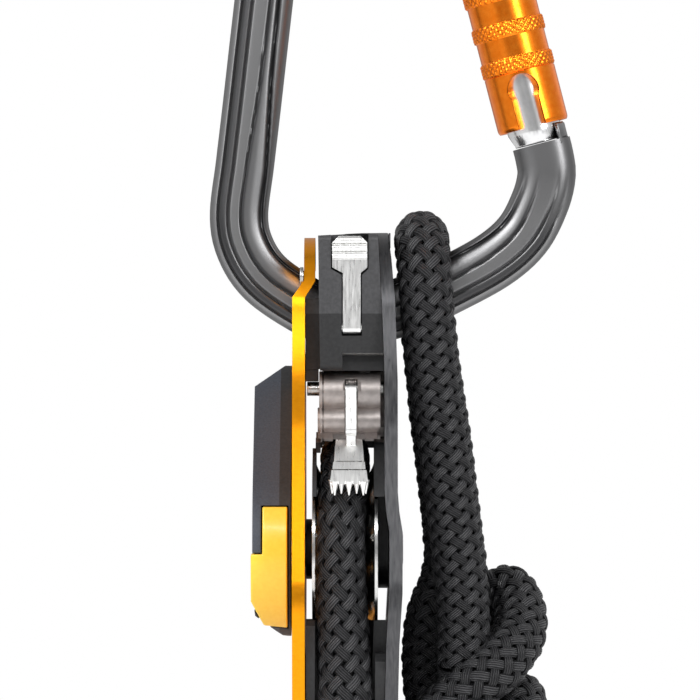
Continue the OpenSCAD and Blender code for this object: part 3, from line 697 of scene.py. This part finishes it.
def bar_depth(u, s):
    """Half the forged bar's thickness in millimetres; u is -1 outside the connector, 1 inside."""
    full = BAR_T / 2 * np.clip(1 - np.abs(u) ** 2.8, 0, 1) ** (1 / 2.3)
    pocket, rib, fade = bar_zones(s)
    cut = (1.1 * step(u, -0.40, 0.022) * (1 - step(u, pocket, 0.022))
           + 0.5 * step(u, pocket, 0.03) * (1 - step(u, rib + 0.05, 0.03))
           + groove(u, -0.71, 0.05, 0.7) + groove(u, rib, 0.055, 0.55)
           + groove(u, -0.37, 0.045, 0.5) + groove(u, pocket - 0.03, 0.03, 0.3))
    return full - fade * cut


def bar_painted_light(u, s):
    """Painted light on the bar from 0 to 1: its ribs and panel are painted lighter as a painted
    highlight, and its grooves and edges darker as painted shade.
    """
    pocket, rib, fade = bar_zones(s)
    panel = step(u, -0.38, 0.02) * (1 - step(u, pocket - 0.02, 0.02))
    lines = (0.34 * groove(u, -0.82, 0.07, 1) - 0.36 * groove(u, -0.56, 0.13, 1) + 0.16 * panel
             - 0.42 * groove(u, pocket + 0.05, 0.06, 1)
             + 0.20 * groove(u, (pocket + rib) / 2 + 0.03, 0.07, 1)
             - 0.38 * groove(u, rib + 0.04, 0.07, 1))
    return np.clip(0.38 + fade * lines - 0.3 * np.abs(u) ** 12, 0, 1)


def make_bar():
    line, along = smooth_line(at_axle([(x, 0, z) for x, z in BAR_ROUTE]), step=0.0012)
    way = np.gradient(line, axis=0)
    way /= np.linalg.norm(way, axis=1)[:, None]
    # The route runs clockwise as seen from the front, so the inside is on its right
    inward = np.stack([way[:, 2], way[:, 1] * 0, -way[:, 0]], axis=1)
    u = np.cos(np.linspace(math.pi, 0, 84))
    u = np.sign(u) * np.abs(u) ** 1.15
    vertices, uvs = [], []
    for centre, to_inside, s in zip(line, inward, along / MM):
        half = bar_depth(u, s)
        shade = bar_painted_light(u, s)
        # The profile layer carries the painted light in U
        uvs += [(v, 0.5) for v in (*shade, *shade[-2:0:-1])]
        front = [centre + to_inside * a * BAR_W / 2 * MM + np.array([0, -h * MM, 0])
                 for a, h in zip(u, half)]
        back = [centre + to_inside * a * BAR_W / 2 * MM + np.array([0, h * MM, 0])
                for a, h in zip(u[-2:0:-1], half[-2:0:-1])]
        vertices += front + back
    return new_object("connector_bar", vertices, tube_faces(len(line), 2 * len(u) - 2), uvs,
                      "profile")


def gate_frame():
    """A frame at the gate's foot whose Z runs up along the gate."""
    foot = Vector(at_axle([(GATE_FOOT[0], 0, GATE_FOOT[1])])[0])
    return Matrix.Translation(foot) @ Matrix.Rotation(-GATE_LEAN, 4, "Y")


def cut_away(obj, *tools):
    """Subtracts the tools from obj and removes them."""
    for tool in tools:
        cut = obj.modifiers.new("cut", "BOOLEAN")
        cut.operation = "DIFFERENCE"
        cut.solver = "EXACT"
        cut.object = tool
    graph = bpy.context.evaluated_depsgraph_get()
    mesh = bpy.data.meshes.new_from_object(obj.evaluated_get(graph))
    obj.modifiers.clear()
    obj.data = mesh
    for tool in tools:
        bpy.data.objects.remove(tool)
    bm = bmesh.new()
    bm.from_mesh(mesh)
    bmesh.ops.remove_doubles(bm, verts=bm.verts, dist=1e-6)
    mark_sharp(bm)
    bm.to_mesh(mesh)
    bm.free()


def cylinder(radius, low, high, to_world):
    """A closed cylinder along the Y of a local frame; sizes in millimetres."""
    turn = Matrix.Rotation(math.radians(-90), 4, "X")
    ring = [(radius * math.cos(a) * MM, radius * math.sin(a) * MM)
            for a in np.linspace(0, 2 * math.pi, CYLINDER_SIDES, endpoint=False)]
    points = [to_world @ turn @ Vector((x, y, z * MM)) for z in (low, high) for x, y in ring]
    return new_object("cylinder", points, tube_faces(2, CYLINDER_SIDES))


def block(low, high, to_world):
    """A closed box between two corners in a local frame; sizes in millimetres."""
    points = [to_world @ Vector((x * MM, y * MM, z * MM)) for z in (low[2], high[2])
              for x, y in ((low[0], low[1]), (high[0], low[1]), (high[0], high[1]),
                           (low[0], high[1]))]
    return new_object("block", points, tube_faces(2, 4))


def nose_lip():
    """The thin wall beside the gate's foot, on the outer side of the nose."""
    turns = np.linspace(-LIP_HALF_TURN, LIP_HALF_TURN, 17)
    section = [(LIP_IN, -1), (LIP_OUT, -1), (LIP_OUT, LIP_TOP - 0.4), (LIP_OUT - 0.3, LIP_TOP),
               (LIP_IN, LIP_TOP)]
    to_world = gate_frame()
    points = [to_world @ Vector((r * math.cos(a) * MM, r * math.sin(a) * MM, h * MM))
              for a in turns for r, h in section]
    # The lip takes one even level of the bar's painted light
    lip = new_object("connector_nose_lip", points, tube_faces(len(turns), len(section)),
                     [(0.42, 0.5)] * len(points), "profile")
    return finish_with(lip, "grey_anodised", "connector")


def make_connector():
    bar = make_bar()
    at_hinge = gate_frame() @ Matrix.Translation((0, 0, HINGE_S * MM))
    cut_away(bar, block((-GAP_HALF, -GAP_HALF, 0), (GAP_HALF, GAP_HALF, GAP_TOP), gate_frame()),
             cylinder(SLOT_R, -SLOT_HALF, SLOT_HALF, at_hinge),
             cylinder(RIVET_R, -RIVET_HALF, RIVET_HALF, at_hinge))
    finish_with(bar, "grey_anodised", "connector", ["connector_frame"])
    nose_lip()


SLEEVE_FROM = 3.6
SLEEVE_TO = 38.0
SLEEVE_R = 7.4
SLEEVE_BORE = 5.55
BANDS = (14.9, 22.1, 29.4)
BAND_H = 3.1
KNURLS = 34
KNURL_RISE = 1.35
KNURL_DEPTH = 0.30
# How far the plain metal and the skirt lie below the bands, and how wide the rims' chamfers are
PLAIN_DROP, SKIRT_DROP = 0.42, 0.22
BAND_RIM, SKIRT_RIM = 0.35, 0.8
# The skirt's notch, from its left side to its right one, with a round top
NOTCH_PLACE = (-0.35, 0, 11.2)
NOTCH_LEFT, NOTCH_RIGHT, NOTCH_R = -2.8, 2.75, 3.2


def triangle(x):
    """A wave from 0 to 1 and back over each whole step of x."""
    return 2 * np.abs(x - np.floor(x) - 0.5)


def lathe(name, heights, radius_of, bore, to_world, sides):
    """A tube round a local Z axis whose outer radius is radius_of(height, angle)."""
    angle = np.linspace(0, 2 * math.pi, sides, endpoint=False)
    profile = [(h, None) for h in heights] + [(heights[-1], bore), (heights[0], bore)]
    points = []
    for h, inner in profile:
        r = np.full(sides, inner) if inner else radius_of(h, angle)
        points += [to_world @ Vector((a * MM, b * MM, h * MM))
                   for a, b in zip(r * np.cos(angle), r * np.sin(angle))]
    rows = len(profile)
    faces = [(i * sides + k, i * sides + (k + 1) % sides, (i + 1) % rows * sides + (k + 1) % sides,
              (i + 1) % rows * sides + k) for i in range(rows) for k in range(sides)]
    return new_object(name, points, faces)


def knurled_radius(h, angle):
    """Diamond-knurled bands with chamfered rims, and plain metal between them."""
    plain = SLEEVE_R - PLAIN_DROP - 0.25 * max(0, h - SLEEVE_TO + 0.5) ** 2
    for low in BANDS:
        if low <= h <= low + BAND_H:
            rim = min(h - low, low + BAND_H - h)
            if rim < 0.05:
                return np.full(angle.shape, plain)
            turn, lift = angle * KNURLS / (2 * math.pi), h / KNURL_RISE
            cut = 1 - np.minimum(triangle(turn + lift), triangle(turn - lift))
            cut = np.clip(cut * 1.5 - 0.55, 0, 1)
            return SLEEVE_R - 0.25 * max(0, BAND_RIM - rim) / BAND_RIM - KNURL_DEPTH * cut
    return np.full(angle.shape, plain)


def skirt_radius(h, angle):
    rim = max(0, SKIRT_RIM - (h - SLEEVE_FROM))
    return np.full(angle.shape, SLEEVE_R - SKIRT_DROP - 0.45 * rim ** 2)


def make_sleeve():
    frame_of = gate_frame()
    split = BANDS[0] - 0.1
    heights = sorted({round(h, 3) for h in
                      [*np.linspace(split, SLEEVE_TO, 90),
                       *(low + d for low in BANDS for d in (0, 0.05, BAND_H - 0.05, BAND_H))]})
    upper = lathe("locking_sleeve_knurled", heights, knurled_radius, SLEEVE_BORE, frame_of, 272)
    finish_with(upper, "orange_anodised", "sleeve", ["locking_sleeve"])
    skirt = lathe("locking_sleeve_skirt", list(np.linspace(SLEEVE_FROM, split + 0.05, 28)),
                  skirt_radius, SLEEVE_BORE, frame_of, 128)
    notch = frame_of @ Matrix.Translation(Vector(NOTCH_PLACE) * MM)
    cut_away(skirt, block((NOTCH_LEFT, -9, -9), (NOTCH_RIGHT, -2, 0.4), notch),
             cylinder(NOTCH_R, -9, -2, notch))
    rounding = skirt.modifiers.new("round", "BEVEL")
    rounding.width = 0.35 * MM
    rounding.segments = 3
    rounding.limit_method = "ANGLE"
    rounding.angle_limit = math.radians(50)
    finish_with(skirt, "orange_anodised", "sleeve")


# ---- build ----------------------------------------------------------------------------------

# Every CAD node that is shown as itself with rounded edges, as (body, finish, rounding in mm)
SOFT = {
    "hinge_rivet": ("connector", "steel", 0.2),
    "tail_sleeve": ("connector", "sleeve_rubber", 0.4),
    "connector_gate": ("gate", "silver_anodised", 0.35),
    "fixed_plate": ("device", "black_anodised", 0.3),
    "rope_guide": ("device", "guide_plastic", 0.3),
    "left_washer": ("device", "guide_plastic", 0.2),
    "right_washer": ("device", "guide_plastic", 0.2),
    "friction_plate": ("device", "cam_steel", 0.2),
    "cam_axle": ("device", "steel", 0.12),
    "catch_pin": ("device", "steel", 0.15),
    "rope_end_sleeve": ("device", "sleeve_rubber", 0.4),
    "latch_lever": ("latch", "polished_steel", 0.22),
    "catch": ("catch", "polished_steel", 0.1),
    "cam": ("cam", "cam_steel", 0.12),
    "moving_plate": ("moving_plate", "gold_anodised", 0.35),
    "gate_rivet": ("moving_plate", "steel", 0.15),
    "handle_cap": ("handle", "block_plastic", 0.25),
    "handle_screw": ("handle", "steel", 0.2),
    "handle_button": ("button", "yellow_plastic", 0.45),
}
# The chamfer of a node's two upper corners, in mm
CHAMFER = {"latch_lever": 1.3}
UP, RIGHT = (0, 0, 1), (1, 0, 0)
# CAD nodes in two finishes: (body, rounding in mm, way, level, finish before it, finish beyond it)
# The housing's cheeks are blackened; the block's foot and the handle's inner layer take a darker
# finish as painted shade
TWO_PART = {
    # Painted shade: below this level the block's foot takes the darker guide_plastic
    "top_block": ("device", 0.22, UP, AXLE_Z + 47 * MM, "guide_plastic", "block_plastic"),
    "friction_housing": ("device", 0.2, UP, AXLE_Z + 21.5 * MM, "guide_plastic", "cast_steel"),
    # Painted shade: beyond this level the handle's side toward the plate takes the darker
    # sleeve_rubber
    "handle": ("handle", 0.6, RIGHT, -13.0 * MM, "handle_plastic", "sleeve_rubber"),
}
# CAD nodes that only take their finish
PLAIN = {
    "gate_spring": "spring_steel", "sleeve_guide": "guide_plastic",
    "sleeve_spring": "spring_steel", "block_screws": "screw_steel", "latch_pin": "steel",
    "latch_spring": "spring_steel", "housing_screws": "screw_steel",
    "catch_spring": "spring_steel", "cam_bush": "bronze", "cam_spring": "spring_steel",
    "guide_screws": "screw_steel", "friction_screws": "screw_steel", "plate_bush": "bronze",
    "safety_gate": "guide_plastic", "button_spring": "spring_steel",
}

# Springs that a sliding piece shortens: (joint, the way it pushes, the share left at its limit)
SHORTENED = {
    "sleeve_spring": ("sleeve_slide", (-math.sin(GATE_LEAN), 0, math.cos(GATE_LEAN)), 0.45),
    "button_spring": ("button_press", (0, 1, 0), 0.5),
}

bpy.context.scene.view_settings.view_transform = "Standard"
make_camera()
make_world()
make_floor()
for lamp in LAMPS:
    make_lamp(*lamp)
for node, slot in PLAIN.items():
    NODES[node].data.materials.clear()
    NODES[node].data.materials.append(FINISH[slot])
for node, (body, slot, round_mm) in SOFT.items():
    cuts = upper_corners(node, CHAMFER[node]) if node in CHAMFER else ()
    soften(node, slot, body, round_mm, cuts=cuts)
for node, (body, round_mm, way, level, before, beyond) in TWO_PART.items():
    soften(node, before, body, round_mm, cuts=[(way, level, False)])
    soften(node, beyond, body, round_mm, node + "_second_part", cuts=[(way, level, True)])
for node, (joint, way, keep) in SHORTENED.items():
    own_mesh(NODES[node])
make_connector()
make_sleeve()
make_ropes()
